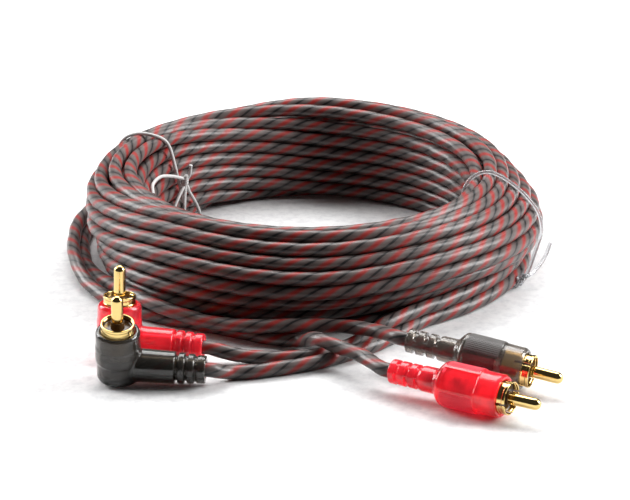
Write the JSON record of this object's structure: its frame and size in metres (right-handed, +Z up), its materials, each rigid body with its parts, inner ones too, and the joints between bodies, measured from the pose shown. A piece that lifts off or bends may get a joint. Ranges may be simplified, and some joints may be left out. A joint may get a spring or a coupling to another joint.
{
  "type": "rca audio cable",
  "caption": "Two-channel stereo phono lead wound into a ring, with right-angle plugs at one end and straight plugs at the other, held by ties.",
  "frame": {"origin": "centre of the footprint of the whole lead, on the surface it lies on", "axes": "+Z up out of the coil, +Y from the plugs towards the far side of the coil, +X towards the pins of the straight plugs"},
  "size_m": [0.1446, 0.1936, 0.0314],
  "materials": {
    "boot_smoke": "soft translucent smoke-grey PVC",
    "boot_red": "soft translucent red PVC",
    "gold_plate": "polished gold plate",
    "insulator_brown": "glossy brown phenolic",
    "ferrule_steel": "plated steel",
    "inner_mould_natural": "natural polythene",
    "jacket_smoke": "satin smoke-grey PVC with red tracer stripes",
    "tie_white": "white plastic-coated wire",
    "tie_clear": "clear plastic"
  },
  "bodies": {
    "root": {"black_angle_boot": "boot_smoke", "black_angle_pin": "gold_plate", "black_angle_sleeve": "gold_plate", "black_angle_insulator": "insulator_brown", "black_angle_collar": "ferrule_steel", "black_angle_inner_mould": "inner_mould_natural", "black_angle_lead": "jacket_smoke", "red_angle_boot": "boot_red", "red_angle_pin": "gold_plate", "red_angle_sleeve": "gold_plate", "red_angle_insulator": "insulator_brown", "red_angle_collar": "ferrule_steel", "red_angle_inner_mould": "inner_mould_natural", "red_angle_lead": "jacket_smoke", "grey_straight_boot": "boot_smoke", "grey_straight_pin": "gold_plate", "grey_straight_sleeve": "gold_plate", "grey_straight_insulator": "insulator_brown", "grey_straight_collar": "ferrule_steel", "grey_straight_inner_mould": "inner_mould_natural", "grey_straight_lead": "jacket_smoke", "red_straight_boot": "boot_red", "red_straight_pin": "gold_plate", "red_straight_sleeve": "gold_plate", "red_straight_insulator": "insulator_brown", "red_straight_collar": "ferrule_steel", "red_straight_inner_mould": "inner_mould_natural", "red_straight_lead": "jacket_smoke", "cable_coil": "jacket_smoke", "wire_tie": "tie_white", "clear_tie": "tie_clear"}
  },
  "joints": []
}
